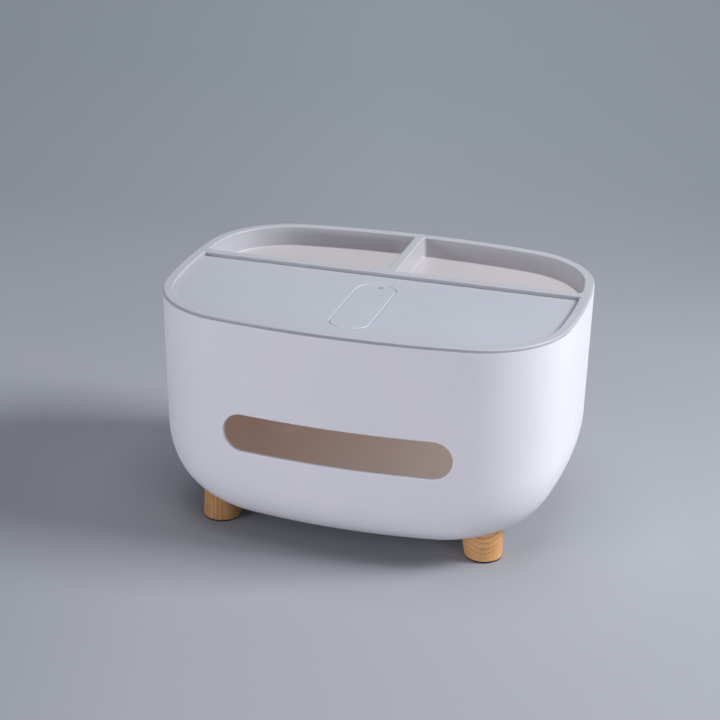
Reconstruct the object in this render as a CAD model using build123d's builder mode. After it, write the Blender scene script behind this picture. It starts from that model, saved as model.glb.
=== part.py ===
"""Desk tissue dispenser with a lift-out tray, a lidded front compartment and a tip-up flap.

All sizes are in millimetres. Z is up from the surface that the object stands on, X runs
along the long side and the front, with the slot that tissues are drawn through, faces -Y.
"""

from build123d import *

import os
from math import cos, radians, sin, sqrt

# Casing
length = 245.0  # over the ends, at the rim
width = 180.0  # over the front and the back, at the rim
height = 140.4  # from the floor to the top of the rim
front_radius = 486.0  # wide arcs of the front and the back
end_radius = 350.0  # wide arcs of the two ends
corner_radius = 55.0  # arcs that join them
casing_bottom = 11.5  # underside above the floor
casing_wall = 2.8
draft = 0.02  # the walls lean in by this share of the depth
end_turn_reach = 42.0  # how far an end turns in under the casing
end_turn_rise = 46.0  # how high that turn starts above the underside
face_turn_reach = 22.5  # the same at the front and the back
face_turn_rise = 28.5
turn_steps = 9
turn_step = 90 / turn_steps  # degrees

# Slot in the front
slot_length = 135.4
slot_height = 23.2
slot_level = 71.3  # middle of the slot above the floor
slot_round = 0.8

# Tray
rim_height = 2.0  # rim that lies on the casing's edge
rim_setback = 0.2  # rim behind the casing's face
rim_round = 0.8
tray_wall = 2.8
tray_floor = 2.2
tray_gap = 0.4  # between tray and casing
rear_depth = 12.8  # open compartments, below the rim's top
front_depth = 23.0  # lidded compartment
bar_front = 14.6  # front face of the cross bar
bar_width = 5.6
divider_width = 5.6
divider_place = 0.8  # middle of the divider along X
well_corner = 2.4  # plan corners of the compartments
well_taper = 2.0  # degrees
floor_round = 0.9
groove_wall = 1.6  # bar and divider are hollow from beneath
ledge_width = 3.0  # ledge that carries the lid
ledge_depth = 2.4

# Lid
lid_drop = 2.4  # lid's top below the rim's top
lid_thickness = 2.2
lid_gap = 0.5
lid_corner = 1.2
rib_depth = 3.0  # rib that centres the lid in the ledge
rib_width = 1.6
lid_round = 0.4

# Flap
flap_width = 23.5
flap_from_bar = 14.1  # its rear end in front of the cross bar
flap_from_front = 20.5  # its front end in from the rim's front
flap_thickness = 2.0
flap_corner = 9.5
flap_gap = 0.3
flap_round = 0.45
tail = 12.0  # from the pivot to the rear end
pivot_drop = 2.4  # pivot below the flap's top
knuckle_radius = 2.2
pin_radius = 1.0
pin_running = 0.05  # the flap turns on the pin
pin_press = 0.02  # the pin is pressed into the lid
flap_open = 70.0  # degrees
tail_gap = 0.5  # under the tail when the flap is open
pocket_wall = 2.0
pocket_gap = 0.6  # in front of the knuckle
recess_floor = 1.6
pin_chamfer = 0.2
pin_end_gap = 0.2
dimple_radius = 1.9
dimple_depth = 0.35
dimple_place = 4.6  # from the flap's rear end
dimple_side = 1.2  # right of the middle

# Legs
leg_from_end = 41.7  # middle of the foot, in from the rim's end
leg_from_face = 36.8
foot_radius = 11.0
leg_taper = 0.09  # radius gained for each millimetre up the leg
leg_lean = 7.5  # degrees, feet outwards
lean_heading = 36.0  # degrees from X towards Y
seat_depth = 7.6  # leg's top above the casing's underside, where the turned-in wall hides it all round
seat_gap = 0.25
seat_wall = 2.4
foot_round = 0.8
foot_spare = 4.0  # cut away level under the foot
pad_thickness = 1.0
pad_inset = 0.6
stud_radius = 3.0
stud_in_leg = 8.5
bush_radius = 4.3
bush_length = 8.0
bush_wall = 2.4
boss_cap = 1.5  # over the bush
thread_gap = 0.04
stud_end_gap = 0.5
stud_chamfer = 0.6
groove_width = 1.6
groove_depth = 0.6

rim_seat = height - rim_height
rim_width = casing_wall + tray_gap + tray_wall
skirt_inset = casing_wall + tray_gap
bar_back = bar_front + bar_width
divider_left = divider_place - divider_width / 2
divider_right = divider_place + divider_width / 2
rear_floor = height - rear_depth
front_floor = height - front_depth
lid_top = height - lid_drop
lid_seat = lid_top - lid_thickness
ledge_under = lid_seat - ledge_depth
beyond = length  # clears the whole object
corners = {
    "front_left": (-1, -1),
    "front_right": (1, -1),
    "back_left": (-1, 1),
    "back_right": (1, 1),
}


def turned_in(level, base, reach, rise):
    """Distance that a quarter-ellipse turn has drawn in at a level above its base."""
    depth = min(max(base + rise - level, 0.0) / rise, 1.0)
    return reach * (1.0 - sqrt(1.0 - depth**2))


def outline(level, inset=0.0, wall=0.0):
    """Face of the casing's outline at a level: four wide arcs joined by four corner arcs.

    A wall gives the inside of a shell of that thickness. An inset then draws the outline
    in by the same distance all round.
    """
    lean = draft * (height - level)
    base = casing_bottom + wall
    half_x = length / 2 - lean - turned_in(level, base, end_turn_reach - wall, end_turn_rise - wall)
    half_y = width / 2 - lean - turned_in(level, base, face_turn_reach - wall, face_turn_rise - wall)
    share_x = half_x / (length / 2)
    share_y = half_y / (width / 2)
    inwards = wall + inset
    half_x -= inwards
    half_y -= inwards
    face_arc = front_radius * share_x**2 / share_y - inwards
    end_arc = end_radius * share_y**2 / share_x - inwards
    corner_arc = corner_radius * sqrt(share_x * share_y) - inwards

    # The middle of a corner arc lies where circles about the wide arcs' middles cross
    face_middle = Vector(0, half_y - face_arc)
    end_middle = Vector(half_x - end_arc, 0)
    span = end_middle - face_middle
    to_corner = face_arc - corner_arc
    along = (to_corner**2 - (end_arc - corner_arc) ** 2 + span.length**2) / (2 * span.length)
    across = Vector(span.Y, -span.X).normalized() * sqrt(to_corner**2 - along**2)
    corner_middle = face_middle + span.normalized() * along + across

    # Points of one quarter, from the back's arc round to the end's arc
    touch_face = face_middle + (corner_middle - face_middle).normalized() * face_arc
    touch_end = end_middle + (corner_middle - end_middle).normalized() * end_arc
    halfway = (touch_face + touch_end) / 2 - corner_middle
    halfway = corner_middle + halfway.normalized() * corner_arc
    with BuildSketch(Plane.XY.offset(level)) as face:
        with BuildLine():
            for side in (1, -1):
                ThreePointArc(
                    (-side * touch_face.X, side * touch_face.Y),
                    (0, side * half_y),
                    (side * touch_face.X, side * touch_face.Y),
                )
                ThreePointArc(
                    (side * touch_face.X, side * touch_face.Y),
                    (side * halfway.X, side * halfway.Y),
                    (side * touch_end.X, side * touch_end.Y),
                )
                ThreePointArc(
                    (side * touch_end.X, side * touch_end.Y),
                    (side * half_x, 0),
                    (side * touch_end.X, -side * touch_end.Y),
                )
                ThreePointArc(
                    (side * touch_end.X, -side * touch_end.Y),
                    (side * halfway.X, -side * halfway.Y),
                    (side * touch_face.X, -side * touch_face.Y),
                )
        make_face()
    return face.sketch


def zone(level, inset, y_low=-beyond, y_high=beyond, x_low=-beyond, x_high=beyond, corner=0.0):
    """Part of the outline at a level between the given lines, its sharp corners rounded."""
    with BuildSketch(Plane.XY.offset(level)) as face:
        add(outline(level, inset))
        with Locations(((x_low + x_high) / 2, (y_low + y_high) / 2)):
            Rectangle(x_high - x_low, y_high - y_low, mode=Mode.INTERSECT)
        if corner:
            offset(amount=-corner)
            offset(amount=corner)
    return face.sketch


def shell(wall=0.0):
    """Solid inside the casing's outer face, or inside its inner face where a wall is given.

    The turn under the casing follows outlines at even steps round its quarter, and one
    a step above it, from where the wall runs up straight.
    """
    base = casing_bottom + wall
    rise = end_turn_rise - wall
    levels = [base + rise * (1.0 - cos(radians(step * turn_step))) for step in range(turn_steps + 1)]
    levels.append(2 * levels[-1] - levels[-2])
    top = height if wall else rim_seat
    with BuildPart() as body:
        loft([outline(level, wall=wall) for level in levels])
        loft([outline(level, wall=wall) for level in (levels[-1], top)])
    return body.part


def leg_plane(side, face):
    """Plane square to a leg's axis, at the middle of its foot."""
    lean = radians(leg_lean)
    heading = radians(lean_heading)
    up = (-side * sin(lean) * cos(heading), -face * sin(lean) * sin(heading), cos(lean))
    return Plane(origin=(side * leg_x, face * leg_y, pad_thickness), z_dir=up)


leg_x = length / 2 - leg_from_end
leg_y = width / 2 - leg_from_face
seat_rise = (casing_bottom + seat_depth - pad_thickness) / cos(radians(leg_lean))
leg_top_radius = foot_radius + leg_taper * seat_rise
seat_radius = leg_top_radius + seat_gap
boss_radius = bush_radius + bush_wall

os.makedirs("parts", exist_ok=True)

# Hollow of the casing, less the cup that holds each leg's top and the boss that stands on it
with BuildPart() as hollow:
    add(shell(casing_wall))
    for side, face in corners.values():
        with Locations(leg_plane(side, face)):
            Cylinder(
                seat_radius + seat_wall,
                seat_rise + seat_wall,
                align=(Align.CENTER, Align.CENTER, Align.MIN),
                mode=Mode.SUBTRACT,
            )
            Cylinder(
                boss_radius,
                seat_rise + bush_length + boss_cap,
                align=(Align.CENTER, Align.CENTER, Align.MIN),
                mode=Mode.SUBTRACT,
            )

# Casing: a thin shell with the slot, and a seat and a boss for each leg
with BuildPart() as casing:
    add(shell())
    add(hollow.part, mode=Mode.SUBTRACT)
    with BuildSketch(Plane.XZ):
        with Locations((0, slot_level)):
            SlotOverall(slot_length, slot_height)
    extrude(amount=width, mode=Mode.SUBTRACT)
    fillet(casing.edges(Select.LAST).filter_by(GeomType.LINE, reverse=True), slot_round)
    for side, face in corners.values():
        with Locations(leg_plane(side, face).offset(seat_rise)):
            Cylinder(
                seat_radius,
                seat_rise,
                align=(Align.CENTER, Align.CENTER, Align.MAX),
                mode=Mode.SUBTRACT,
            )
            Cylinder(
                bush_radius + thread_gap,
                bush_length,
                align=(Align.CENTER, Align.CENTER, Align.MIN),
                mode=Mode.SUBTRACT,
            )
casing.part.label = "casing"
export_step(casing.part, "parts/casing.step")

# Tray, as full blocks: rim, collar in the casing's mouth and a box for each compartment
front_inset = skirt_inset + ledge_width
front_wall = bar_front - ledge_width + tray_wall
with BuildPart() as tray_block:
    add(outline(rim_seat, rim_setback))
    extrude(amount=rim_height)
    loft([outline(level, skirt_inset) for level in (ledge_under, rim_seat)])
    loft([zone(level, skirt_inset, y_low=bar_front) for level in (rear_floor - tray_floor, ledge_under)])
    loft([zone(level, front_inset, y_high=front_wall) for level in (front_floor - tray_floor, ledge_under)])

# Hollows of the two open compartments
with BuildPart() as rear_wells:
    for x_low, x_high in ((-beyond, divider_left), (divider_right, beyond)):
        add(zone(height, rim_width, bar_back, beyond, x_low, x_high, well_corner))
    extrude(amount=-rear_depth, taper=well_taper)
    fillet(rear_wells.faces().group_by(Axis.Z)[0].edges(), floor_round)

# Hollow of the lidded compartment
with BuildPart() as front_well:
    add(zone(lid_seat, rim_width + ledge_width, y_high=bar_front - ledge_width, corner=well_corner))
    extrude(amount=front_floor - lid_seat, taper=well_taper)
    fillet(front_well.faces().sort_by(Axis.Z)[0].edges(), floor_round)

# Tray: the blocks less the hollows, the lid's recess and the grooves under bar and divider
bar_middle = bar_front + bar_width / 2
with BuildPart() as tray:
    add(tray_block.part)
    add(rear_wells.part, mode=Mode.SUBTRACT)
    add(front_well.part, mode=Mode.SUBTRACT)
    add(zone(lid_seat, rim_width, y_high=bar_front, corner=lid_corner))
    extrude(amount=height - lid_seat, mode=Mode.SUBTRACT)
    with BuildSketch(Plane.XY.offset(height - tray_floor)):
        with Locations((0, bar_middle)):
            Rectangle(length, bar_width - 2 * groove_wall)
        with Locations((divider_place, bar_middle)):
            Rectangle(divider_width - 2 * groove_wall, width, align=(Align.CENTER, Align.MIN))
        add(outline(height - tray_floor, rim_width), mode=Mode.INTERSECT)
    extrude(amount=-height, mode=Mode.SUBTRACT)
    fillet(tray.faces().sort_by(Axis.Z)[-1].edges(), rim_round)
tray.part.label = "tray"
export_step(tray.part, "parts/tray.step")

# Lid: panel, centring rib, and the recess and pocket that the flap lies and swings in
flap_rear = bar_front - flap_from_bar
flap_length = flap_rear + width / 2 - flap_from_front
flap_middle = flap_rear - flap_length / 2
opening_width = flap_width + 2 * flap_gap
opening_length = flap_length + 2 * flap_gap
pivot_y = flap_rear - tail
pivot_level = lid_top - pivot_drop
pocket_front = pivot_y - knuckle_radius - pocket_gap
recess_level = lid_top - flap_thickness
pocket_depth = pivot_drop + tail * sin(radians(flap_open)) + tail_gap
pin_length = opening_width + 2 * pocket_wall
with BuildPart() as lid:
    lid_inset = rim_width + lid_gap
    add(zone(lid_seat, lid_inset, y_high=bar_front - lid_gap, corner=lid_corner))
    extrude(amount=lid_thickness)
    rib_inset = lid_inset + ledge_width
    rib_back = bar_front - ledge_width - lid_gap
    with BuildSketch(Plane.XY.offset(lid_seat)):
        add(zone(lid_seat, rib_inset, y_high=rib_back, corner=well_corner - lid_gap))
        offset(amount=-rib_width, mode=Mode.SUBTRACT)
    extrude(amount=-rib_depth)
    with BuildSketch(Plane.XY.offset(recess_level)) as surround:
        with Locations((0, flap_middle)):
            RectangleRounded(
                opening_width + 2 * pocket_wall,
                opening_length + 2 * pocket_wall,
                flap_corner + flap_gap + pocket_wall,
            )
    extrude(amount=-recess_floor)
    with BuildSketch(Plane.XY.offset(recess_level)):
        add(surround.sketch)
        with Locations((0, pocket_front - pocket_wall)):
            Rectangle(beyond, beyond, align=(Align.CENTER, Align.MIN), mode=Mode.INTERSECT)
    extrude(amount=flap_thickness - pocket_depth - recess_floor)
    with BuildSketch(Plane.XY.offset(recess_level)) as opening:
        with Locations((0, flap_middle)):
            RectangleRounded(opening_width, opening_length, flap_corner + flap_gap)
    extrude(amount=flap_thickness, mode=Mode.SUBTRACT)
    with BuildSketch(Plane.XY.offset(recess_level)):
        add(opening.sketch)
        with Locations((0, pocket_front)):
            Rectangle(beyond, beyond, align=(Align.CENTER, Align.MIN), mode=Mode.INTERSECT)
    extrude(amount=flap_thickness - pocket_depth, mode=Mode.SUBTRACT)
    fillet(lid.faces().sort_by(Axis.Z)[-1].edges(), lid_round)
    with BuildSketch(Plane.YZ):
        with Locations((pivot_y, pivot_level)):
            Circle(pin_radius + pin_press)
    extrude(amount=pin_length / 2, both=True, mode=Mode.SUBTRACT)
lid.part.label = "lid"
export_step(lid.part, "parts/lid.step")

# Flap: plate with a press dimple at its rear end and a bored knuckle underneath
dimple_ball = (dimple_radius**2 + dimple_depth**2) / (2 * dimple_depth)
with BuildPart() as flap:
    with BuildSketch(Plane.XY.offset(recess_level)):
        with Locations((0, flap_middle)):
            RectangleRounded(flap_width, flap_length, flap_corner)
    extrude(amount=flap_thickness)
    fillet(flap.faces().sort_by(Axis.Z)[-1].edges(), flap_round)
    with BuildSketch(Plane.YZ):
        with Locations((pivot_y, pivot_level)):
            Circle(knuckle_radius)
    extrude(amount=flap_width / 2, both=True)
    with BuildSketch(Plane.YZ):
        with Locations((pivot_y, pivot_level)):
            Circle(pin_radius + pin_running)
    extrude(amount=flap_width, both=True, mode=Mode.SUBTRACT)
    with Locations((dimple_side, flap_rear - dimple_place, lid_top + dimple_ball - dimple_depth)):
        Sphere(dimple_ball, mode=Mode.SUBTRACT)
flap.part.label = "flap"
export_step(flap.part, "parts/flap.step")

# Pin that the flap turns on
with BuildPart() as flap_pin:
    with BuildSketch(Plane.YZ):
        with Locations((pivot_y, pivot_level)):
            Circle(pin_radius)
    extrude(amount=pin_length / 2 - pin_end_gap, both=True)
    chamfer(flap_pin.edges().filter_by(GeomType.CIRCLE), pin_chamfer)
flap_pin.part.label = "flap_pin"
export_step(flap_pin.part, "parts/flap_pin.step")

for name, (side, face) in corners.items():
    axis = leg_plane(side, face)
    seat = axis.offset(seat_rise)

    # Leg: tapered peg, square to its axis at the top and level at the foot
    with BuildPart() as leg:
        with Locations(axis.offset(-foot_spare)):
            Cone(
                foot_radius - leg_taper * foot_spare,
                leg_top_radius,
                seat_rise + foot_spare,
                align=(Align.CENTER, Align.CENTER, Align.MIN),
            )
        split(bisect_by=Plane.XY.offset(pad_thickness), keep=Keep.TOP)
        fillet(leg.edges().group_by(Axis.Z)[0], foot_round)
        with Locations(seat):
            Cylinder(
                stud_radius + thread_gap,
                stud_in_leg + stud_end_gap,
                align=(Align.CENTER, Align.CENTER, Align.MAX),
                mode=Mode.SUBTRACT,
            )
    leg.part.label = f"leg_{name}"
    export_step(leg.part, f"parts/leg_{name}.step")

    # Pad under the foot
    with BuildPart() as pad:
        with Locations((side * leg_x, face * leg_y, 0)):
            Cylinder(
                foot_radius - pad_inset,
                pad_thickness,
                align=(Align.CENTER, Align.CENTER, Align.MIN),
            )
    pad.part.label = f"pad_{name}"
    export_step(pad.part, f"parts/pad_{name}.step")

    # Threaded bush in the casing's boss
    with BuildPart() as bush:
        with Locations(seat):
            Cylinder(
                bush_radius,
                bush_length,
                align=(Align.CENTER, Align.CENTER, Align.MIN),
            )
            Hole(stud_radius + thread_gap)
        with BuildSketch(seat.offset((bush_length - groove_width) / 2)):
            Circle(2 * bush_radius)
            Circle(bush_radius - groove_depth, mode=Mode.SUBTRACT)
        extrude(amount=groove_width, mode=Mode.SUBTRACT)
    bush.part.label = f"bush_{name}"
    export_step(bush.part, f"parts/bush_{name}.step")

    # Stud that joins the leg to the bush
    with BuildPart() as stud:
        with Locations(seat.offset(-stud_in_leg)):
            Cylinder(
                stud_radius,
                stud_in_leg + bush_length - stud_end_gap,
                align=(Align.CENTER, Align.CENTER, Align.MIN),
            )
        chamfer(stud.edges().filter_by(GeomType.CIRCLE), stud_chamfer)
    stud.part.label = f"stud_{name}"
    export_step(stud.part, f"parts/stud_{name}.step")
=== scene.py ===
"""Dresses the desk tissue dispenser: its moulded, turned and metal finishes, its fine parts and a studio.

The object's sizes are in millimetres and turned to metres by MM, because the frame is in metres.
The frame's origin is the middle of the footprint on the floor, +X runs to the right along the
front, and the front with the slot faces -Y.
"""

import logging
from dataclasses import dataclass
from enum import Enum
from math import cos, pi, radians, sin

import bmesh
import bpy
import numpy as np
from mathutils import Matrix, Vector


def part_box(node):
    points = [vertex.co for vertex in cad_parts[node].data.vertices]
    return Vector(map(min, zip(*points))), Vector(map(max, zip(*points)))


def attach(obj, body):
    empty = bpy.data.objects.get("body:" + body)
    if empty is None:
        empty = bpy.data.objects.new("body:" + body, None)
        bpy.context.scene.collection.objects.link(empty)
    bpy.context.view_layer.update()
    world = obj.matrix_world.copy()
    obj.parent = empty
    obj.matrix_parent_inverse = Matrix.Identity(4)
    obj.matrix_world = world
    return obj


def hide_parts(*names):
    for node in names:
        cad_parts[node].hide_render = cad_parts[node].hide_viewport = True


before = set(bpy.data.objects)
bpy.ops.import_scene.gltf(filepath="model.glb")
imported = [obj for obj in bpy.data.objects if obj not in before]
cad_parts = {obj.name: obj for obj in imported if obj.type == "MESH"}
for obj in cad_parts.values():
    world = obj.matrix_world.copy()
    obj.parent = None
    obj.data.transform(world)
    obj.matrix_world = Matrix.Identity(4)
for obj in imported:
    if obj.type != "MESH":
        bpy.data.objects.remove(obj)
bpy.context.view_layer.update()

MM = 0.001
MERGED_MM = 0.001  # points closer than this become one
UNSHADED = ("tray",)  # soft light from all round leaves no cast shade in its compartments
LOG = logging.getLogger("tissue_dispenser")

RISE = (0.0, 1.0)  # a share that grows along a range
FALL = (1.0, 0.0)  # a share that fades along it
MOST = (0.3, 0.7)  # range that holds most of a noise
MIDDLE = (0.35, 0.65)  # narrower, so that patches stand out more
LEVEL = (1.0, 1.0, 0.0)  # times a vector, this leaves out its third part

Socket = bpy.types.NodeSocket
Source = bpy.types.Node | Socket | float | tuple  # what an input of a node can take


class Body(Enum):
    """Bodies of the frame that new pieces ride on."""

    BASE = "base"


class Lights(Enum):
    """What a lamp lights. One for the unshaded nodes alone casts no shade on them."""

    ALL = "all"
    UNSHADED = "unshaded nodes"
    SHADED = "all but the unshaded nodes"


def linear(colour: str) -> tuple[float, float, float, float]:
    """Turn an sRGB hex colour into linear red, green, blue and alpha.

    Args:
        colour: Six hex digits after a hash sign.

    Returns:
        The linear colour, with alpha 1.
    """
    parts = [int(colour[i : i + 2], 16) / 255 for i in (1, 3, 5)]
    return (*(part / 12.92 if part <= 0.04045 else ((part + 0.055) / 1.055) ** 2.4 for part in parts), 1.0)


def metres(*sizes_mm: float) -> tuple[float, ...]:
    """Turn sizes or the parts of a place from millimetres to metres."""
    return tuple(size * MM for size in sizes_mm)


def per_metre(size_mm: float) -> float:
    """Texture scale at which one feature is this many millimetres wide."""
    return 1.0 / (size_mm * MM)


class Nodes:
    """Nodes of one material or world, which starts with none."""

    def __init__(self, owner: bpy.types.ID) -> None:
        """Empty the owner's node tree.

        Args:
            owner: Material or world.
        """
        owner.use_nodes = True
        self.tree = owner.node_tree
        self.tree.nodes.clear()

    def add(
        self, kind: str, inputs: dict[str, Source] | tuple[Source, ...] = (), **settings: object
    ) -> bpy.types.Node:
        """Add one node with its settings, its values and its links.

        Args:
            kind: Blender's name for the kind of node, after ShaderNode.
            inputs: Sources for the node's inputs, by name, or as a tuple in the order of those in
                use. A source is a value, an output, or a node, which stands for its first output.
            **settings: Properties of the node itself.

        Returns:
            The new node.
        """
        node = self.tree.nodes.new("ShaderNode" + kind)
        for name, value in settings.items():
            setattr(node, name, value)
        if isinstance(inputs, dict):
            pairs = [(node.inputs[name], source) for name, source in inputs.items()]
        else:
            pairs = zip([socket for socket in node.inputs if socket.enabled], inputs)
        for socket, source in pairs:
            if isinstance(source, bpy.types.Node):
                source = next(output for output in source.outputs if output.enabled)
            if isinstance(source, Socket):
                self.tree.links.new(source, socket)
            else:
                socket.default_value = source
        return node


@dataclass(frozen=True)
class Finish:
    """A real material and how its surface was made. Its patterns follow Object coordinates."""

    name: str

    def surface(self, nodes: Nodes, place: Socket) -> dict[str, Source]:
        """Work out what the shader's inputs get, which each finish does for itself.

        Args:
            nodes: Nodes of the material.
            place: Output with the coordinates, in metres.

        Returns:
            A source for each input of the shader that the finish sets, by the input's name.
        """
        raise NotImplementedError

    def material(self) -> bpy.types.Material:
        """Build the material from its surface.

        Returns:
            The material.
        """
        material = bpy.data.materials.new(self.name)
        nodes = Nodes(material)
        place = nodes.add("TexCoord").outputs["Object"]
        shader = nodes.add("BsdfPrincipled", self.surface(nodes, place))
        nodes.add("OutputMaterial", (shader,))
        return material


@dataclass(frozen=True)
class Plastic(Finish):
    """Injection-moulded plastic with a satin, finely eroded skin.

    The body colour drifts by a shade over a few centimetres, as pigment does in the melt, and the
    gloss drifts with the mould's polish.
    """

    colour: str
    drift: str
    roughness: tuple[float, float]
    drift_mm: float = 55.0
    polish_mm: float = 14.0
    grain_mm: float = 0.7  # the real skin's 0.1 mm grain wouldn't show
    grain_depth_mm: float = 0.012
    ior: float = 1.5

    def surface(self, nodes: Nodes, place: Socket) -> dict[str, Source]:
        """Work out the drift of colour, the drift of gloss, and the fine grain as bump.

        Args:
            nodes: Nodes of the material.
            place: Output with the coordinates.

        Returns:
            A source for each of the shader's inputs.
        """
        melt = nodes.add("TexNoise", {"Vector": place, "Scale": per_metre(self.drift_mm)})
        share = nodes.add("MapRange", (melt, *MIDDLE, *RISE))
        body = nodes.add("Mix", (share, linear(self.colour), linear(self.drift)), data_type="RGBA")
        polish = nodes.add("TexNoise", {"Vector": place, "Scale": per_metre(self.polish_mm)})
        gloss = nodes.add("MapRange", (polish, *MOST, *self.roughness))
        grain = nodes.add("TexNoise", {"Vector": place, "Scale": per_metre(self.grain_mm)})
        relief = {"Height": grain, "Strength": 1.0, "Distance": self.grain_depth_mm * MM}
        bump = nodes.add("Bump", relief)
        return {"Base Color": body, "Roughness": gloss, "IOR": self.ior, "Normal": bump}


@dataclass(frozen=True)
class ShellPlastic(Plastic):
    """Plastic of a thin pale shell, whose hollow carries painted shade and a painted glow.

    The faces that look into the hollow are painted a warmer brown, as painted shade, and glow
    with painted light that stands for light coming through the wall and bouncing about inside.
    The glow rises from the left end to the right.
    """

    # Painted shade: the faces inside are a warmer, darker brown
    hollow: str = "#BBA599"
    painted_glow_left: str = "#948078"  # painted glow at the left end
    painted_glow_right: str = "#908986"  # painted glow at the right
    painted_glow_span: tuple[float, float] = (-100.0, 30.0)  # along X
    painted_glow_strength: tuple[float, float] = (0.31, 0.66)
    middle_mm: tuple[float, float, float] = (0.0, 0.0, 80.0)
    front_mm: float = 88.6  # front face at the slot's level
    front_radius: float = 486.0  # of the front's arc, seen from above
    wall_mm: float = 2.8
    behind_walls: tuple[float, float] = (0.8, 1.1)  # depth where the hollow starts, in wall thicknesses
    facing_mm: float = 1.5  # how far the arm runs against the normal where a face counts as inner
    boss_mm: tuple[tuple[float, float], ...] = ((60.0, 95.0), (33.0, 66.0), (13.5, 31.0))
    upright: float = -0.25  # least upward share of the normal on a cup or boss

    def inwards(self, nodes: Nodes, place: Socket) -> bpy.types.Node:
        """Share of hollow at a place.

        A face looks inwards where the arm from the middle points against its normal. The slot's
        own edge does so too, so what lies less than a wall behind the front's arc is left out.
        The arc's depth at X is X squared over twice its radius.

        Args:
            nodes: Nodes of the material.
            place: Output with the coordinates.

        Returns:
            The node that gives the share, from 0 to 1.
        """
        arm = nodes.add("VectorMath", (place, metres(*self.middle_mm)), operation="SUBTRACT")
        facing = nodes.add("NewGeometry").outputs["True Normal"]
        towards = nodes.add("VectorMath", (arm, facing), operation="DOT_PRODUCT")
        inner = nodes.add("MapRange", (towards, -self.facing_mm * MM, 0.0, *FALL))
        apart = nodes.add("SeparateXYZ", (place,)).outputs
        squared = nodes.add("Math", (apart["X"], apart["X"]), operation="MULTIPLY")
        bow = nodes.add("Math", (squared, 2 * self.front_radius * MM), operation="DIVIDE")
        depth = nodes.add("Math", (apart["Y"], bow), operation="SUBTRACT")
        ends = metres(*(walls * self.wall_mm - self.front_mm for walls in self.behind_walls))
        behind = nodes.add("MapRange", (depth, *ends, *RISE))
        inner = nodes.add("Math", (inner, behind), operation="MULTIPLY")
        return nodes.add("Math", (inner, self.on_bosses(nodes, place, facing)), operation="MAXIMUM")

    def on_bosses(self, nodes: Nodes, place: Socket, facing: Socket) -> bpy.types.Node:
        """Share of the cups and bosses over the legs, whose flanks stand upright.

        They lie in four boxes about the legs, where the shell's outer face looks downwards. The
        boxes mirror each other, and boss_mm holds one's reach along X, Y and Z.

        Args:
            nodes: Nodes of the material.
            place: Output with the coordinates.
            facing: Output with the face's normal.

        Returns:
            The node that gives the share, 0 or 1.
        """
        mirrored = nodes.add("VectorMath", (place,), operation="ABSOLUTE")
        apart = nodes.add("SeparateXYZ", (mirrored,)).outputs
        upwards = nodes.add("SeparateXYZ", (facing,)).outputs["Z"]
        share = nodes.add("Math", (upwards, self.upright), operation="GREATER_THAN")
        for axis, (low, high) in zip("XYZ", self.boss_mm):
            middle_and_reach = metres((low + high) / 2, (high - low) / 2)
            within = nodes.add("Math", (apart[axis], *middle_and_reach), operation="COMPARE")
            share = nodes.add("Math", (share, within), operation="MULTIPLY")
        return share

    def surface(self, nodes: Nodes, place: Socket) -> dict[str, Source]:
        """Work out the plastic, painted warmer in the hollow as shade, and the painted glow, rising along X.

        Args:
            nodes: Nodes of the material.
            place: Output with the coordinates.

        Returns:
            A source for each of the shader's inputs.
        """
        plain = super().surface(nodes, place)
        inner = self.inwards(nodes, place)
        # Painted shade: the inner faces take the warmer brown
        colours = (plain["Base Color"], linear(self.hollow))
        body = nodes.add("Mix", (inner, *colours), data_type="RGBA")
        # Painted glow: emission on the inner faces, rising along X
        across = nodes.add("SeparateXYZ", (place,)).outputs["X"]
        share = nodes.add("MapRange", (across, *metres(*self.painted_glow_span), *RISE))
        rising = nodes.add("MapRange", (share, *RISE, *self.painted_glow_strength))
        strength = nodes.add("Math", (rising, inner), operation="MULTIPLY")
        colours = (linear(self.painted_glow_left), linear(self.painted_glow_right))
        warm = nodes.add("Mix", (share, *colours), data_type="RGBA")
        return plain | {"Base Color": body, "Emission Color": warm, "Emission Strength": strength}


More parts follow.
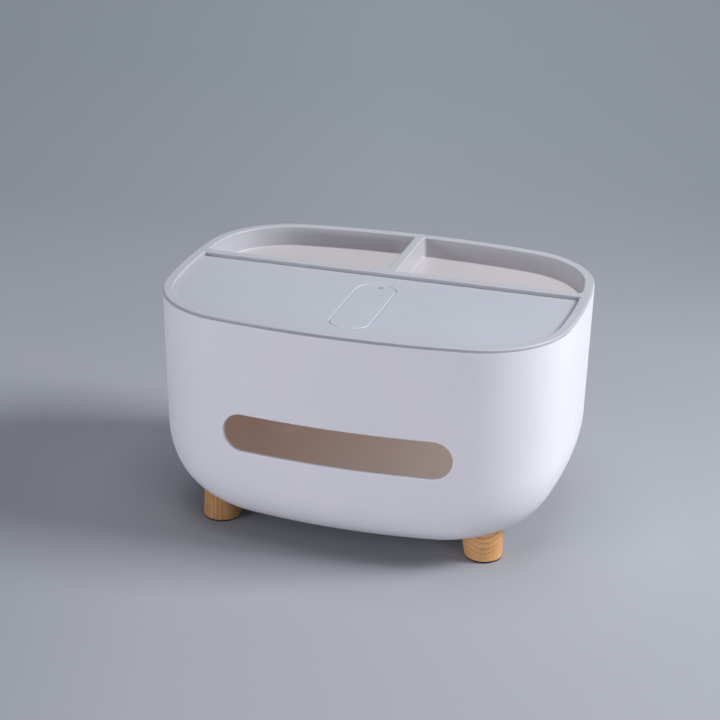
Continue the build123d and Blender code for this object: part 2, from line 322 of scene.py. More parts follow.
@dataclass(frozen=True)
class WellPlastic(Plastic):
    """Plastic of a panel with wells.

    Its wells carry painted light and shade: the floors are painted a shade lighter and warmer,
    and the walls are painted with shade that varies along X. The rim's outer side is painted a
    shade darker than its top, as painted shade.
    """

    # Painted light: the wells' floors a shade lighter and warmer
    floor_light: str = "#B7B3B4"
    floor_facing: tuple[float, float] = (0.3, 0.8)  # upward share of the normal, from wall to floor
    level: float = 138.6  # top of the walls
    blend_mm: float = 3.0
    span_mm: tuple[float, float] = (-110.0, 110.0)
    # Painted shade on the wells' walls, varying along X
    wall_shades: tuple[tuple[float, str], ...] = (
        (-105.0, "#B2B3B8"),
        (-81.0, "#A4A3A7"),
        (-57.0, "#98969A"),
        (-18.0, "#99979B"),
        (-6.0, "#B3B1B5"),
        (24.0, "#AFADB1"),
        (48.0, "#A9A7AB"),
        (78.0, "#AAA8AC"),
        (108.0, "#B5B3B6"),
    )
    # Painted shade on the rim's outer side
    rim_side_shade: str = "#A0A1A6"
    rim_low: tuple[float, float] = (138.0, 138.2)  # along Z, where the rim's side begins
    rim_fade: tuple[float, float] = (10.0, 80.0)  # along X
    outer_mm: tuple[float, float] = (20.0, 60.0)  # reach from the middle along an outer side's normal

    def walls(self, nodes: Nodes, across: Socket) -> bpy.types.Node:
        """Painted shade of the walls at a place along X, from the list of tones.

        Args:
            nodes: Nodes of the material.
            across: Output with the place along X, in metres.

        Returns:
            The node that gives the tone.
        """
        share = nodes.add("MapRange", (across, *metres(*self.span_mm), *RISE))
        ramp = nodes.add("ValToRGB", (share,))
        stops = ramp.color_ramp.elements
        low, high = self.span_mm
        while len(stops) < len(self.wall_shades):
            stops.new(0.5)
        for stop, (place_mm, tone) in zip(stops, self.wall_shades):
            stop.position = (place_mm - low) / (high - low)
            stop.color = linear(tone)
        return ramp

    def surface(self, nodes: Nodes, place: Socket) -> dict[str, Source]:
        """Work out the plastic on top, the wells' painted light and shade below the level, and the painted
        shade on the rim's side.

        Args:
            nodes: Nodes of the material.
            place: Output with the coordinates.

        Returns:
            A source for each of the shader's inputs.
        """
        plain = super().surface(nodes, place)
        apart = nodes.add("SeparateXYZ", (place,)).outputs
        facing = nodes.add("NewGeometry").outputs["True Normal"]
        upwards = nodes.add("SeparateXYZ", (facing,)).outputs["Z"]
        # Floors take the painted light, walls the painted shade
        flat = nodes.add("MapRange", (upwards, *self.floor_facing, *RISE))
        colours = (self.walls(nodes, apart["X"]), linear(self.floor_light))
        well = nodes.add("Mix", (flat, *colours), data_type="RGBA")
        ends = metres(self.level - self.blend_mm, self.level)
        below = nodes.add("MapRange", (apart["Z"], *ends, *FALL))
        body = nodes.add("Mix", (below, plain["Base Color"], well), data_type="RGBA")
        # Painted shade on the rim's outer side, fading out to the right
        arm = nodes.add("VectorMath", (place, LEVEL), operation="MULTIPLY")
        outwards = nodes.add("VectorMath", (arm, facing), operation="DOT_PRODUCT")
        side = nodes.add("MapRange", (outwards, *metres(*self.outer_mm), *RISE))
        high = nodes.add("MapRange", (apart["Z"], *metres(*self.rim_low), *RISE))
        left = nodes.add("MapRange", (apart["X"], *metres(*self.rim_fade), *FALL))
        share = nodes.add("Math", (side, high), operation="MULTIPLY")
        share = nodes.add("Math", (share, left), operation="MULTIPLY")
        body = nodes.add("Mix", (share, body, linear(self.rim_side_shade)), data_type="RGBA")
        return plain | {"Base Color": body}


@dataclass(frozen=True)
class LidPlastic(Plastic):
    """Plastic of the lid and its flap, with a painted highlight along the flap's outline.

    A small round spot in the flap's press mark is painted darker, as shade in its dimple.
    """

    # Painted highlight along the flap's outline
    edge: str = "#C4C8CF"
    middle_mm: tuple[float, float, float] = (0.0, -34.5, 0.0)  # of the flap
    half_width: float = 11.9
    half_length: float = 35.15
    corner: float = 9.65  # radius of the flap's corners
    highlight_mm: tuple[float, float] = (0.25, 0.65)  # distance from the outline over which it fades
    # Painted shade in the press mark's dimple
    mark: str = "#92959B"
    mark_mm: tuple[float, float, float] = (1.2, -4.1, 0.0)
    mark_radii: tuple[float, float] = (1.5, 1.9)  # where the spot begins to fade, and its edge

    def from_outline(self, nodes: Nodes, place: Socket) -> bpy.types.Node:
        """Distance from the flap's outline, a rectangle with rounded corners.

        The distance is how far the point's arm from the middle, without its sign, reaches beyond
        the rectangle of the corners' middles, less the corner's radius.

        Args:
            nodes: Nodes of the material.
            place: Output with the coordinates.

        Returns:
            The node that gives the distance, in metres.
        """
        arm = nodes.add("VectorMath", (place, metres(*self.middle_mm)), operation="SUBTRACT")
        arm = nodes.add("VectorMath", (arm, LEVEL), operation="MULTIPLY")
        arm = nodes.add("VectorMath", (arm,), operation="ABSOLUTE")
        corners = metres(self.half_width - self.corner, self.half_length - self.corner, 0.0)
        beyond = nodes.add("VectorMath", (arm, corners), operation="SUBTRACT")
        beyond = nodes.add("VectorMath", (beyond, (0.0, 0.0, 0.0)), operation="MAXIMUM")
        reach = nodes.add("VectorMath", (beyond,), operation="LENGTH")
        past = nodes.add("Math", (reach, self.corner * MM), operation="SUBTRACT")
        return nodes.add("Math", (past,), operation="ABSOLUTE")

    def surface(self, nodes: Nodes, place: Socket) -> dict[str, Source]:
        """Work out the plastic, with the painted highlight on the outline and the painted shade in the mark.

        Args:
            nodes: Nodes of the material.
            place: Output with the coordinates.

        Returns:
            A source for each of the shader's inputs.
        """
        plain = super().surface(nodes, place)
        outline = self.from_outline(nodes, place)
        # Painted highlight near the outline
        near = nodes.add("MapRange", (outline, *metres(*self.highlight_mm), *FALL))
        colours = (plain["Base Color"], linear(self.edge))
        body = nodes.add("Mix", (near, *colours), data_type="RGBA")
        level = nodes.add("VectorMath", (place, LEVEL), operation="MULTIPLY")
        # Painted shade in the mark's spot
        away = nodes.add("VectorMath", (level, metres(*self.mark_mm)), operation="DISTANCE")
        spot = nodes.add("MapRange", (away, *metres(*self.mark_radii), *FALL))
        body = nodes.add("Mix", (spot, body, linear(self.mark)), data_type="RGBA")
        return plain | {"Base Color": body}


@dataclass(frozen=True)
class Beech(Finish):
    """Turned beech under a clear matt varnish: growth rings, and flecks along the fibre.

    The pith is the line that the rings are centred on. It passes through a point and runs
    along the fibre.
    """

    pith_mm: tuple[float, float, float]
    fibre: tuple[float, float, float]
    early: str = "#E0AC74"
    late: str = "#AD7340"
    fleck: str = "#8F5A33"
    ring_mm: float = 2.2
    waver_mm: float = 9.0
    waver_depth_mm: float = 1.6
    waver_noise: tuple[float, float] = (0.25, 0.75)
    waver_stretch: float = 0.35  # of the waver's pattern, along the fibre
    weather_years: float = 0.9  # changes of weather for each year
    weather: tuple[float, float] = (0.2, 1.0)  # how strongly a poor and a good year show
    late_year: tuple[float, float] = (0.1, 0.86)  # where in a year the wood darkens, from and to
    late_power: float = 1.6
    fleck_mm: float = 0.7  # real ray flecks are 0.3 mm wide
    fleck_stretch: float = 0.14
    fleck_noise: tuple[float, float] = (0.58, 0.7)
    fleck_share: float = 0.55
    fleck_depth_mm: float = 0.05
    fleck_bump: float = 0.6
    broad_share: float = 0.3  # of the late wood's tone, in broad patches
    gloss_mm: float = 2.0
    roughness: tuple[float, float] = (0.4, 0.56)
    ior: float = 1.5

    def along_fibre(self, nodes: Nodes, place: Socket) -> bpy.types.Node:
        """Coordinates from the pith: two across the fibre, and the third along it.

        Args:
            nodes: Nodes of the material.
            place: Output with the coordinates.

        Returns:
            The node that gives the coordinates from the pith, in metres.
        """
        along = Vector(self.fibre).normalized()
        first = along.orthogonal().normalized()
        axes = (first, along.cross(first), along)
        arm = nodes.add("VectorMath", (place, metres(*self.pith_mm)), operation="SUBTRACT")
        parts = [nodes.add("VectorMath", (arm, tuple(axis)), operation="DOT_PRODUCT") for axis in axes]
        return nodes.add("CombineXYZ", tuple(parts))

    def rings(self, nodes: Nodes, fibre: bpy.types.Node) -> bpy.types.Node:
        """Share of dark late wood: it rises through each year, drops at its end, and varies by year.

        A year is the wavering distance from the pith over a ring's width.

        Args:
            nodes: Nodes of the material.
            fibre: Node that gives the coordinates from the pith.

        Returns:
            The node that gives the share, from 0 to 1.
        """
        across = nodes.add("VectorMath", (fibre, LEVEL), operation="MULTIPLY")
        reach = nodes.add("VectorMath", (across,), operation="LENGTH")
        slow = nodes.add("Mapping", {"Vector": fibre, "Scale": (1.0, 1.0, self.waver_stretch)})
        bend = nodes.add("TexNoise", {"Vector": slow, "Scale": per_metre(self.waver_mm)})
        waver = nodes.add("MapRange", (bend, *self.waver_noise, 0.0, self.waver_depth_mm * MM))
        radius = nodes.add("Math", (reach, waver), operation="ADD")
        years = nodes.add("Math", (radius, self.ring_mm * MM), operation="DIVIDE")
        change = {"W": years, "Scale": self.weather_years}
        weather = nodes.add("TexNoise", change, noise_dimensions="1D")
        strong = nodes.add("MapRange", (weather, *MIDDLE, *self.weather))
        year = nodes.add("Math", (years,), operation="FRACT")
        rise = nodes.add("MapRange", (year, *self.late_year, *RISE))
        drop = nodes.add("MapRange", (year, self.late_year[1], 1.0, *FALL))
        late = nodes.add("Math", (rise, drop), operation="MULTIPLY")
        late = nodes.add("Math", (late, self.late_power), operation="POWER")
        return nodes.add("Math", (late, strong), operation="MULTIPLY")

    def surface(self, nodes: Nodes, place: Socket) -> dict[str, Source]:
        """Work out rings about the pith, stretched flecks, broad patches and the grain's relief.

        Args:
            nodes: Nodes of the material.
            place: Output with the coordinates.

        Returns:
            A source for each of the shader's inputs.
        """
        early, late = linear(self.early), linear(self.late)
        fibre = self.along_fibre(nodes, place)
        body = nodes.add("Mix", (self.rings(nodes, fibre), early, late), data_type="RGBA")
        drawn = nodes.add("Mapping", {"Vector": fibre, "Scale": (1.0, 1.0, self.fleck_stretch)})
        rays = nodes.add("TexNoise", {"Vector": drawn, "Scale": per_metre(self.fleck_mm)})
        flecks = nodes.add("MapRange", (rays, *self.fleck_noise, 0.0, self.fleck_share))
        body = nodes.add("Mix", (flecks, body, linear(self.fleck)), data_type="RGBA")
        patches = nodes.add("TexNoise", {"Vector": place, "Scale": per_metre(self.waver_mm)})
        broad = nodes.add("MapRange", (patches, *MOST, 0.0, self.broad_share))
        body = nodes.add("Mix", (broad, body, late), data_type="RGBA")
        varnish = nodes.add("TexNoise", {"Vector": drawn, "Scale": per_metre(self.gloss_mm)})
        gloss = nodes.add("MapRange", (varnish, *MOST, *self.roughness))
        relief = {"Height": flecks, "Strength": self.fleck_bump, "Distance": self.fleck_depth_mm * MM}
        bump = nodes.add("Bump", relief, invert=True)
        return {"Base Color": body, "Roughness": gloss, "IOR": self.ior, "Normal": bump}


@dataclass(frozen=True)
class Rubber(Finish):
    """Moulded rubber, matt and near black, with a dusty bloom."""

    colour: str
    bloom: str
    bloom_mm: float = 5.0
    bloom_noise: tuple[float, float] = (0.4, 0.7)
    bloom_share: float = 0.6
    roughness: tuple[float, float] = (0.72, 0.9)
    pit_mm: float = 0.5
    pit_depth_mm: float = 0.03
    ior: float = 1.52

    def surface(self, nodes: Nodes, place: Socket) -> dict[str, Source]:
        """Work out a patchy bloom over near black, and a pitted skin.

        Args:
            nodes: Nodes of the material.
            place: Output with the coordinates.

        Returns:
            A source for each of the shader's inputs.
        """
        dust = nodes.add("TexNoise", {"Vector": place, "Scale": per_metre(self.bloom_mm)})
        bloom = nodes.add("MapRange", (dust, *self.bloom_noise, 0.0, self.bloom_share))
        body = nodes.add("Mix", (bloom, linear(self.colour), linear(self.bloom)), data_type="RGBA")
        pits = nodes.add("TexNoise", {"Vector": place, "Scale": per_metre(self.pit_mm)})
        relief = {"Height": pits, "Strength": 1.0, "Distance": self.pit_depth_mm * MM}
        bump = nodes.add("Bump", relief)
        gloss = nodes.add("MapRange", (bloom, 0.0, self.bloom_share, *self.roughness))
        return {"Base Color": body, "Roughness": gloss, "IOR": self.ior, "Normal": bump}


@dataclass(frozen=True)
class Metal(Finish):
    """Small machined metal part: fine turning lines across its axis and slightly uneven tarnish."""

    colour: str
    tarnish: str
    roughness: tuple[float, float]
    patch_mm: float = 4.0
    patch_noise: tuple[float, float] = (0.35, 0.7)
    line_mm: float = 0.3
    line_stretch: float = 0.1  # of the lines' pattern, round the part
    line_depth_mm: float = 0.01
    line_bump: float = 0.6

    def surface(self, nodes: Nodes, place: Socket) -> dict[str, Source]:
        """Work out tarnish in patches, and tool marks as stretched noise.

        Args:
            nodes: Nodes of the material.
            place: Output with the coordinates.

        Returns:
            A source for each of the shader's inputs.
        """
        clouds = nodes.add("TexNoise", {"Vector": place, "Scale": per_metre(self.patch_mm)})
        patch = nodes.add("MapRange", (clouds, *self.patch_noise, *RISE))
        body = nodes.add("Mix", (patch, linear(self.colour), linear(self.tarnish)), data_type="RGBA")
        drawn = (self.line_stretch, self.line_stretch, 1.0)
        round_about = nodes.add("Mapping", {"Vector": place, "Scale": drawn})
        lines = nodes.add("TexNoise", {"Vector": round_about, "Scale": per_metre(self.line_mm)})
        gloss = nodes.add("MapRange", (lines, *MOST, *self.roughness))
        relief = {"Height": lines, "Strength": self.line_bump, "Distance": self.line_depth_mm * MM}
        bump = nodes.add("Bump", relief)
        return {"Base Color": body, "Metallic": 1.0, "Roughness": gloss, "Normal": bump}


def dress(node: str, material: bpy.types.Material) -> None:
    """Give every slot of a frame node a material.

    Args:
        node: Name of the node.
        material: Material for all its slots.
    """
    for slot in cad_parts[node].material_slots:
        slot.material = material


def one_turn(columns: int) -> np.ndarray:
    """Angles of one whole turn as a row, the last one short of the first."""
    return np.linspace(0, 2 * pi, columns, endpoint=False)[None, :]


def triangle_wave(turns: np.ndarray) -> np.ndarray:
    """Wave that falls from 1 to 0 and rises to 1 again over each whole turn."""
    return np.abs(2 * (turns % 1.0) - 1)


def turned(radius: np.ndarray, angle: np.ndarray, height: np.ndarray) -> np.ndarray:
    """Points of a turned surface about the Z axis.

    X is the radius times the angle's cosine, Y is the radius times its sine, and Z is the height.

    Args:
        radius: Radii in millimetres, as a column or a grid.
        angle: Angles as a row.
        height: Heights in millimetres, as a column.

    Returns:
        Grid of rows, columns and three coordinates, in metres.
    """
    return np.stack([radius * np.cos(angle), radius * np.sin(angle), height + 0 * angle], axis=-1) * MM


def merge_doubles(mesh: bpy.types.Mesh) -> None:
    """Merge points that lie on each other, as in a row that closes to a pole, and turn faces out.

    Args:
        mesh: Mesh to change.
    """
    shape = bmesh.new()
    shape.from_mesh(mesh)
    bmesh.ops.remove_doubles(shape, verts=shape.verts, dist=MERGED_MM * MM)
    bmesh.ops.recalc_face_normals(shape, faces=shape.faces)
    shape.to_mesh(mesh)
    shape.free()


def grid_piece(
    name: str, points: np.ndarray, material: bpy.types.Material, body: Body, closed_rows: bool = False
) -> bpy.types.Object:
    """Make a piece from a grid of points that closes round its columns.

    Args:
        name: Name of the piece.
        points: Grid of rows, columns and three coordinates, in metres.
        material: Material of the piece.
        body: Body that it rides on.
        closed_rows: True if the last row joins the first, as on a ring. Otherwise the first
            and the last row are each one point, and are closed as poles.

    Returns:
        The new object.
    """
    rows, columns = points.shape[:2]
    index = np.arange(rows * columns).reshape(rows, columns)
    below = index if closed_rows else index[:-1]
    above = np.roll(index, -1, axis=0) if closed_rows else index[1:]
    quads = np.stack([below, np.roll(below, -1, axis=1), np.roll(above, -1, axis=1), above], axis=-1)
    mesh = bpy.data.meshes.new(name)
    mesh.from_pydata(points.reshape(-1, 3).tolist(), [], quads.reshape(-1, 4).tolist())
    mesh.validate()
    mesh.update()
    merge_doubles(mesh)
    mesh.polygons.foreach_set("use_smooth", np.ones(len(mesh.polygons), bool))
    mesh.materials.append(material)
    piece = bpy.data.objects.new(name, mesh)
    bpy.context.scene.collection.objects.link(piece)
    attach(piece, body.value)
    return piece


@dataclass
class Casing:
    """White outer shell with the slot that tissues are drawn through."""

    # Moulded polypropylene looks soft and even: broad satin highlights, and no grain from a step away
    finish: Finish = ShellPlastic(
        "polypropylene_moulded_white", "#E6E5E8", drift="#E3E3E7", roughness=(0.36, 0.46), ior=1.49
    )

    def dress(self) -> None:
        """Give the casing its satin white."""
        dress("casing", self.finish.material())


@dataclass
class Top:
    """Pale grey tray with its open compartments, and the cooler grey lid with its flap and pin."""

    # Moulded ABS looks denser than the shell, and its rim side and wells carry painted shade and light as
    # tone
    tray: Finish = WellPlastic(
        "abs_moulded_pale_grey", "#B0B1B5", drift="#ADAEB2", roughness=(0.34, 0.44), ior=1.54
    )
    # The same plastic from a finer mould looks cool and flat, and a painted highlight makes the flap's
    # outline stand out
    lid: Finish = LidPlastic(
        "abs_moulded_cool_grey", "#B3B6BC", drift="#B0B3B9", roughness=(0.36, 0.44), ior=1.54
    )
    # Drawn steel gives a thin bright line with faint streaks
    pin: Finish = Metal("steel_drawn", "#A9A9AB", "#8F8F92", (0.22, 0.36))

    def dress(self) -> None:
        """Give tray, lid, flap and pin their finishes."""
        dress("tray", self.tray.material())
        cool = self.lid.material()
        dress("lid", cool)
        dress("flap", cool)
        dress("flap_pin", self.pin.material())


@dataclass
class Leg:
    """Turned peg with its rubber pad, its threaded stud and the brass bush in the casing's boss.

    The peg's axis leans out towards its foot, so stud and bush follow that axis.
    """

    corner: str
    side: int  # 1 at the right end, -1 at the left
    face: int  # 1 at the back, -1 at the front
    wood: Finish
    lean: float = 7.5  # degrees
    heading: float = 36.0  # degrees from X towards Y
    pad_radius: float = 10.4
    pad_height: float = 1.0
    pad_round: float = 0.35
    pad_rows: int = 60
    pad_columns: int = 72
    round_rows: int = 8
    groove_depth: float = 0.3
    groove_pitch: float = 3.4
    groove_span: tuple[float, float] = (1.7, 8.5)  # inner and outer radius of the grooves
    seat: float = 18.26  # peg's top, along the axis from the foot
    stud_radius: float = 3.0
    stud_in_peg: float = 8.5
    stud_end_gap: float = 0.5  # short of the bush's end
    stud_chamfer: float = 0.8
    stud_rows_per_mm: int = 8
    stud_columns: int = 48
    thread_pitch: float = 1.0
    thread_depth: float = 0.55
    bush_radius: float = 4.3
    bush_bore: float = 3.04
    bush_length: float = 8.0
    bush_rows: int = 40
    knurls: int = 26
    knurl_columns: int = 6  # for each knurl
    knurl_pitch: float = 1.1  # along the axis
    knurl_depth: float = 0.22
    band_width: float = 1.6
    band_depth: float = 0.6

    def axis(self) -> tuple[np.ndarray, np.ndarray]:
        """Middle of the foot, and the frame whose third column runs up the peg's axis.

        Returns:
            The foot's point in metres, and a matrix of three columns.
        """
        low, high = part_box(f"pad_{self.corner}")
        foot = np.array([(low.x + high.x) / 2, (low.y + high.y) / 2, high.z])
        lean, heading = radians(self.lean), radians(self.heading)
        inwards = np.array([-self.side * cos(heading), -self.face * sin(heading), 0.0])
        up = sin(lean) * inwards + np.array([0.0, 0.0, cos(lean)])
        across = np.cross([0.0, 1.0, 0.0], up)
        across /= np.linalg.norm(across)
        return foot, np.stack([across, np.cross(up, across), up], axis=1)

    def about_axis(self, radius: np.ndarray, angle: np.ndarray, height: np.ndarray) -> np.ndarray:
        """Points of a surface turned about the peg's axis: the foot plus each point in the axis's frame.

        Args:
            radius: Radii in millimetres.
            angle: Angles as a row.
            height: Heights from the foot in millimetres, as a column.

        Returns:
            Grid of points in metres.
        """
        foot, directions = self.axis()
        return foot + turned(radius, angle, height) @ directions.T

    def build_stud(self, material: bpy.types.Material) -> bpy.types.Object:
        """Build the stud: its radius less the thread's depth times a triangle wave of height and angle.

        The wave climbs by one pitch for each turn. Towards both ends the radius is capped by
        a cone, as a chamfer cuts it, and closes to a pole.

        Args:
            material: Material of the stud.

        Returns:
            The new object.
        """
        low = self.seat - self.stud_in_peg
        high = self.seat + self.bush_length - self.stud_end_gap
        height = np.linspace(low, high, int((high - low) * self.stud_rows_per_mm))[:, None]
        angle = one_turn(self.stud_columns)
        turns = height / self.thread_pitch - angle / (2 * pi)
        radius = self.stud_radius - self.thread_depth * triangle_wave(turns)
        ends = np.minimum(height - low, high - height)
        radius = np.minimum(radius, self.stud_radius - self.stud_chamfer + ends)
        radius = np.concatenate([0 * radius[:1], radius, 0 * radius[:1]])
        height = np.concatenate([height[:1], height, height[-1:]])
        points = self.about_axis(radius, angle, height)
        return grid_piece(f"threaded_stud_{self.corner}", points, material, Body.BASE)

    def build_bush(self, material: bpy.types.Material) -> bpy.types.Object:
        """Build the bush: a ring whose section runs up outside, in over the top, down the bore and back.

        Outside, the radius is less by a diamond knurl, the larger of two crossed triangle
        waves of angle and height, and by a plain band in the middle.

        Args:
            material: Material of the bush.

        Returns:
            The new object.
        """
        rows = self.bush_rows
        rise = np.linspace(self.seat, self.seat + self.bush_length, rows)
        height = np.concatenate([rise, rise[::-1]])[:, None]
        angle = one_turn(self.knurl_columns * self.knurls)
        turn = self.knurls * angle / (2 * pi)
        climb = height / self.knurl_pitch
        knurl = np.maximum(triangle_wave(turn + climb), triangle_wave(turn - climb))
        band = np.abs(height - self.seat - self.bush_length / 2) < self.band_width / 2
        cut = np.where(band, self.band_depth, self.knurl_depth * knurl)
        outside = (np.arange(2 * rows) < rows)[:, None]
        radius = np.where(outside, self.bush_radius - cut, self.bush_bore)
        points = self.about_axis(radius, angle, height)
        return grid_piece(f"knurled_bush_{self.corner}", points, material, Body.BASE, closed_rows=True)

    def build_pad(self, material: bpy.types.Material) -> bpy.types.Object:
        """Build the pad: a turned profile from its underside's middle, over round edges, to its top's.

        A cosine wave of the radius sinks the underside, deepest midway and at the span's two ends.

        Args:
            material: Material of the pad.

        Returns:
            The new object.
        """
        reach = np.linspace(0.0, self.pad_radius - self.pad_round, self.pad_rows)
        ring = np.cos(2 * pi * reach / self.groove_pitch + pi) * 0.5 + 0.5
        inner, outer = self.groove_span
        sunk = self.groove_depth * ring * (reach > inner) * (reach < outer)
        bend = np.linspace(-pi / 2, 0, self.round_rows)
        edge = self.pad_radius - self.pad_round + self.pad_round * np.cos(bend)
        rise = self.pad_round + self.pad_round * np.sin(bend)
        radius = np.concatenate([reach, edge, edge[::-1], [0.0]])[:, None]
        height = np.concatenate([sunk, rise, self.pad_height - rise[::-1], [self.pad_height]])[:, None]
        low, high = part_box(f"pad_{self.corner}")
        middle = np.array([(low.x + high.x) / 2, (low.y + high.y) / 2, low.z])
        points = middle + turned(radius, one_turn(self.pad_columns), height)
        return grid_piece(f"grooved_pad_{self.corner}", points, material, Body.BASE)

    def build(self, rubber: bpy.types.Material, zinc: bpy.types.Material, brass: bpy.types.Material) -> None:
        """Dress the peg and build what replaces its pad, stud and bush.

        Args:
            rubber: Material of the pad.
            zinc: Material of the stud.
            brass: Material of the bush.
        """
        dress(f"leg_{self.corner}", self.wood.material())
        pieces = (
            (self.build_pad(rubber), "pad", "pad_rubber"),
            (self.build_stud(zinc), "stud", "stud_steel"),
            (self.build_bush(brass), "bush", "bush_brass"),
        )
        for piece, node, slot in pieces:
            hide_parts(f"{node}_{self.corner}")
            LOG.info("%s: %d faces", piece.name, len(piece.data.polygons))


@dataclass
class Legs:
    """Four pegs at the corners, each cut from another place in the wood. The front left peg's tones are
    painted darker, as shade.
    """

    # Turned, varnished beech looks warm and straw-toned, with darker rings, short flecks and a low sheen
    woods: tuple[Beech, ...] = (
        Beech(
            "beech_turned_front_left_painted_shade",
            (-118.0, -30.0, 10.0),
            (0.08, 0.1, 1.0),
            # Darker tones: painted shade
            early="#C09361",
            late="#8C5932",
        ),
        Beech("beech_turned_front_right", (71.0, -21.0, -12.0), (-0.2, 0.68, 0.7)),
        Beech("beech_turned_back_left", (-70.0, 82.0, 0.0), (0.3, -0.5, 0.8)),
        Beech("beech_turned_back_right", (108.0, 40.0, 0.0), (0.1, 0.12, 1.0)),
    )
    # Moulded rubber is a near black line without a highlight, greyed by dust
    pad: Finish = Rubber("rubber_moulded_matt", "#1C1B1A", "#3A3836")
    # Zinc-plated steel looks cool and a little cloudy, and its thread's crests catch the light
    stud: Finish = Metal("steel_zinc_plated", "#B4B5BA", "#9C9DA3", (0.24, 0.4))
    # Turned brass looks warm yellow, and its knurl glitters
    bush: Finish = Metal("brass_turned", "#C9A45C", "#B08C4C", (0.2, 0.34))

    def build(self) -> None:
        """Build each corner's peg, pad, stud and bush."""
        rubber, zinc, brass = self.pad.material(), self.stud.material(), self.bush.material()
        corners = ("front_left", "front_right", "back_left", "back_right")
        for corner, wood in zip(corners, self.woods):
            side = 1 if corner.endswith("right") else -1
            face = 1 if corner.startswith("back") else -1
            Leg(corner, side, face, wood).build(rubber, zinc, brass)


@dataclass
class Camera:
    """Camera at the photograph's angle, from its bearing, height angle, roll, distance and focal length."""

    azimuth: float = 16.65  # degrees, as are the next two
    elevation: float = 23.01
    roll: float = 0.91
    distance_mm: float = 1149.34
    focal_pixels: float = 1916.65
    frame_pixels: float = 720.0
    sensor_mm: float = 36.0
    target_mm: tuple[float, float, float] = (-11.74, 0.0, 88.72)
    clip: tuple[float, float] = (0.01, 50.0)  # nearest and farthest thing seen, in metres

    def build(self) -> None:
        """Place the camera: back from the target along the bearing, turned by the roll."""
        azimuth, elevation, roll = radians(self.azimuth), radians(self.elevation), radians(self.roll)
        back = Vector((sin(azimuth) * cos(elevation), -cos(azimuth) * cos(elevation), sin(elevation)))
        right = Vector((cos(azimuth), sin(azimuth), 0.0))
        up = back.cross(right)
        rolled = cos(roll) * right + sin(roll) * up
        upright = -sin(roll) * right + cos(roll) * up
        data = bpy.data.cameras.new("photo_camera")
        data.sensor_width = self.sensor_mm
        data.lens = self.focal_pixels / self.frame_pixels * self.sensor_mm
        data.clip_start, data.clip_end = self.clip
        camera = bpy.data.objects.new("photo_camera", data)
        pose = Matrix((rolled, upright, back)).transposed().to_4x4()
        pose.translation = (Vector(self.target_mm) + back * self.distance_mm) * MM
        camera.matrix_world = pose
        bpy.context.scene.collection.objects.link(camera)
        bpy.context.scene.camera = camera


@dataclass(frozen=True)
class Lamp:
    """Soft box: a square area lamp that looks at the object's middle.

    Its bearing runs from +X towards +Y, and its rise is measured from the floor, both in degrees.
    Its distance and size are in metres, and its power is in watts.
    """

    name: str
    bearing: float
    rise: float
    distance: float
    size: float
    power: float
    colour: tuple[float, float, float]
    lights: Lights = Lights.ALL
    middle: tuple[float, float, float] = (0.0, 0.0, 0.07)

    def link(self, lamp: bpy.types.Object) -> None:
        """Keep the lamp's light on the unshaded nodes, or off them.

        Args:
            lamp: The lamp's object.
        """
        chosen = bpy.data.collections.new(f"{self.name}_chosen")
        for node in UNSHADED:
            chosen.objects.link(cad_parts[node])
        if self.lights is Lights.SHADED:
            for member in chosen.collection_objects:
                member.light_linking.link_state = "EXCLUDE"
        lamp.light_linking.receiver_collection = chosen

    def build(self) -> None:
        """Hang the lamp along its bearing and rise, turned to the object's middle."""
        data = bpy.data.lights.new(self.name, "AREA")
        data.shape = "SQUARE"
        data.size = self.size
        data.energy = self.power
        data.color = self.colour
        data.use_shadow = self.lights is not Lights.UNSHADED
        lamp = bpy.data.objects.new(self.name, data)
        bearing, rise = radians(self.bearing), radians(self.rise)
        away = Vector((cos(bearing) * cos(rise), sin(bearing) * cos(rise), sin(rise)))
        away *= self.distance
        lamp.location = Vector(self.middle) + away
        lamp.rotation_mode = "QUATERNION"
        lamp.rotation_quaternion = (-away).to_track_quat("-Z", "Y")
        bpy.context.scene.collection.objects.link(lamp)
        if self.lights is not Lights.ALL:
            self.link(lamp)


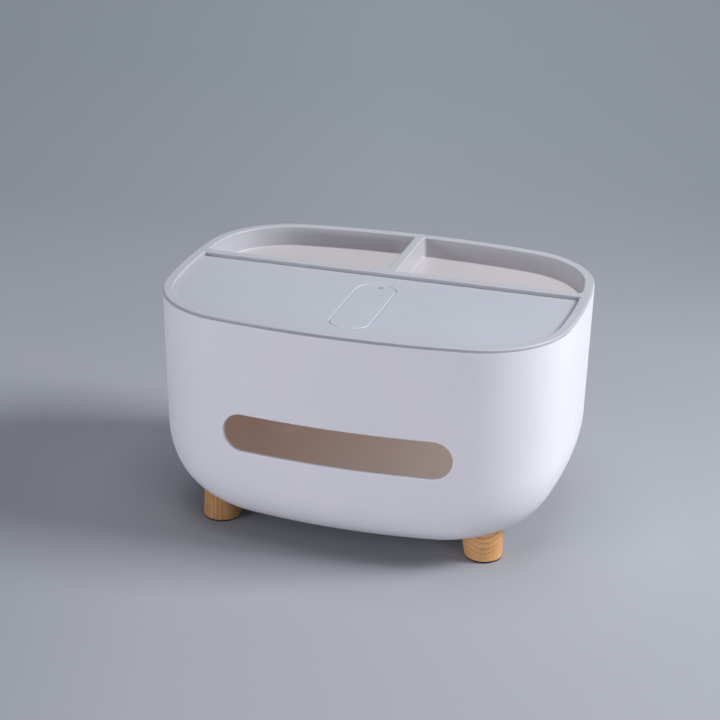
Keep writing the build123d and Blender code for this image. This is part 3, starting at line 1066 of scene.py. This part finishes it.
@dataclass
class Studio:
    """Plain pale floor that sweeps up behind, soft boxes and an even sky. Its sizes are in metres."""

    near_colour: str = "#9B9EA3"
    # Painted falloff of light towards the back
    far_falloff_colour: str = "#878F93"
    dim_falloff_colour: str = "#787F83"  # painted falloff of light, far and to the right
    # Painted shade at the left edge, deepening the cast shadow
    left_shade_colour: str = "#91959A"
    sideways: tuple[float, float, float] = (0.958, 0.287, 0.0)  # to the right across the view
    far_span: tuple[float, float] = (0.12, 0.72)  # along Y
    dim_span: tuple[float, float] = (0.02, 0.33)  # sideways
    dim_depth: tuple[float, float] = (0.3, 0.6)  # along Y
    left_span: tuple[float, float] = (-0.23, -0.12)
    left_depth: tuple[float, float] = (-0.02, 0.13)
    fibre_mm: float = 2.0
    fibre_layers: float = 4.0  # of noise, each finer than the last
    fibre_share: float = 0.04
    paper_roughness: float = 0.85
    sky_colour: str = "#C9D2DE"
    sky_power: float = 0.022
    seen_colour: str = "#909BA6"
    half_width: float = 4.0
    front: float = -3.0
    back: float = 0.45
    bend: float = 0.6
    bend_rows: int = 25
    wall_top: float = 3.2
    lamps: tuple[Lamp, ...] = (
        Lamp("key_right", 10.0, 38.5, 2.0, 0.7, 43.0, (1.0, 1.0, 1.045), Lights.SHADED),
        Lamp("key_open", 10.0, 38.5, 2.0, 0.7, 43.5, (1.0, 1.0, 1.045), Lights.UNSHADED),
        Lamp("fill_low", -131.0, 7.5, 2.4, 1.2, 31.0, (1.0, 0.985, 1.09)),
        Lamp("fill_right", -40.0, 18.0, 2.4, 1.2, 11.0, (1.0, 0.985, 1.06)),
        Lamp("fill_open", 183.0, 20.0, 2.4, 1.2, 6.0, (1.0, 1.0, 1.0), Lights.UNSHADED),
        Lamp("top_soft", 0.0, 90.0, 2.4, 1.6, 20.5, (1.0, 1.0, 1.07)),
    )

    def build_floor(self) -> None:
        """Build floor and backdrop: a flat profile that turns up by a quarter circle, carried along X."""
        turn = np.linspace(0, pi / 2, self.bend_rows)
        y = np.concatenate([[self.front], self.back + self.bend * np.sin(turn), [self.back + self.bend]])
        z = np.concatenate([[0.0], self.bend * (1 - np.cos(turn)), [self.wall_top]])
        x = np.array([-self.half_width, self.half_width])
        points = np.stack(np.broadcast_arrays(x[None, :], y[:, None], z[:, None]), axis=-1)
        index = np.arange(points.shape[0] * 2).reshape(-1, 2)
        quads = np.stack([index[:-1, 0], index[:-1, 1], index[1:, 1], index[1:, 0]], axis=-1)
        mesh = bpy.data.meshes.new("floor_sweep")
        mesh.from_pydata(points.reshape(-1, 3).tolist(), [], quads.tolist())
        mesh.polygons.foreach_set("use_smooth", np.ones(len(mesh.polygons), bool))
        mesh.materials.append(self.floor_material())
        floor = bpy.data.objects.new("floor_sweep", mesh)
        bpy.context.scene.collection.objects.link(floor)

    def floor_material(self) -> bpy.types.Material:
        """Build the matt paper, see-through from below so that the underside can be looked at.

        Its tone is painted darker towards the back, and more so to the right there, as painted
        falloff of light, and towards the left edge, as painted shade that deepens the cast shadow.

        Returns:
            The material.
        """
        # Matt seamless paper gives an even ground without a highlight, and only a hint of fibre
        material = bpy.data.materials.new("paper_sweep_matt")
        nodes = Nodes(material)
        dim = linear(self.dim_falloff_colour)
        place = nodes.add("TexCoord").outputs["Object"]
        depth = nodes.add("SeparateXYZ", (place,)).outputs["Y"]
        across = nodes.add("VectorMath", (place, self.sideways), operation="DOT_PRODUCT")
        # Painted shade at the left edge, and painted falloff of light far and to the right
        left = nodes.add("MapRange", (across, *self.left_span, *FALL))
        left = nodes.add("MapRange", (depth, *self.left_depth, left, 0.0))
        right = nodes.add("MapRange", (across, *self.dim_span, *RISE))
        right = nodes.add("MapRange", (depth, *self.dim_depth, 0.0, right))
        colours = (linear(self.near_colour), linear(self.left_shade_colour))
        near = nodes.add("Mix", (left, *colours), data_type="RGBA")
        far = nodes.add("MapRange", (depth, *self.far_span, *RISE))
        tone = nodes.add("Mix", (far, near, linear(self.far_falloff_colour)), data_type="RGBA")
        tone = nodes.add("Mix", (right, tone, dim), data_type="RGBA")
        pulp = {"Vector": place, "Scale": per_metre(self.fibre_mm), "Detail": self.fibre_layers}
        fibre = nodes.add("MapRange", (nodes.add("TexNoise", pulp), *MOST, 0.0, self.fibre_share))
        tone = nodes.add("Mix", (fibre, tone, dim), data_type="RGBA")
        paper = nodes.add("BsdfPrincipled", {"Base Color": tone, "Roughness": self.paper_roughness})
        below = nodes.add("NewGeometry").outputs["Backfacing"]
        shader = nodes.add("MixShader", (below, paper, nodes.add("BsdfTransparent")))
        nodes.add("OutputMaterial", (shader,))
        return material

    def build_sky(self) -> None:
        """Build the even sky light. The camera sees a plain grey in its place beyond the sweep."""
        world = bpy.data.worlds.new("studio_sky")
        nodes = Nodes(world)
        sky = nodes.add("Background", (linear(self.sky_colour), self.sky_power))
        seen = nodes.add("Background", (linear(self.seen_colour), 1.0))
        ray = nodes.add("LightPath").outputs["Is Camera Ray"]
        nodes.add("OutputWorld", (nodes.add("MixShader", (ray, sky, seen)),))
        bpy.context.scene.world = world

    def build(self) -> None:
        """Build floor, sky and lamps, and set the plain view transform."""
        self.build_floor()
        self.build_sky()
        for lamp in self.lamps:
            lamp.build()
        bpy.context.scene.view_settings.view_transform = "Standard"


def main() -> None:
    """Dress the frame, build the fine parts and the studio, and report each."""
    logging.basicConfig(level=logging.INFO, format="%(message)s")
    Camera().build()
    Casing().dress()
    LOG.info("casing dressed")
    Top().dress()
    LOG.info("tray, lid, flap and pin dressed")
    Legs().build()
    Studio().build()
    LOG.info("studio built")


if __name__ == "__main__":
    main()
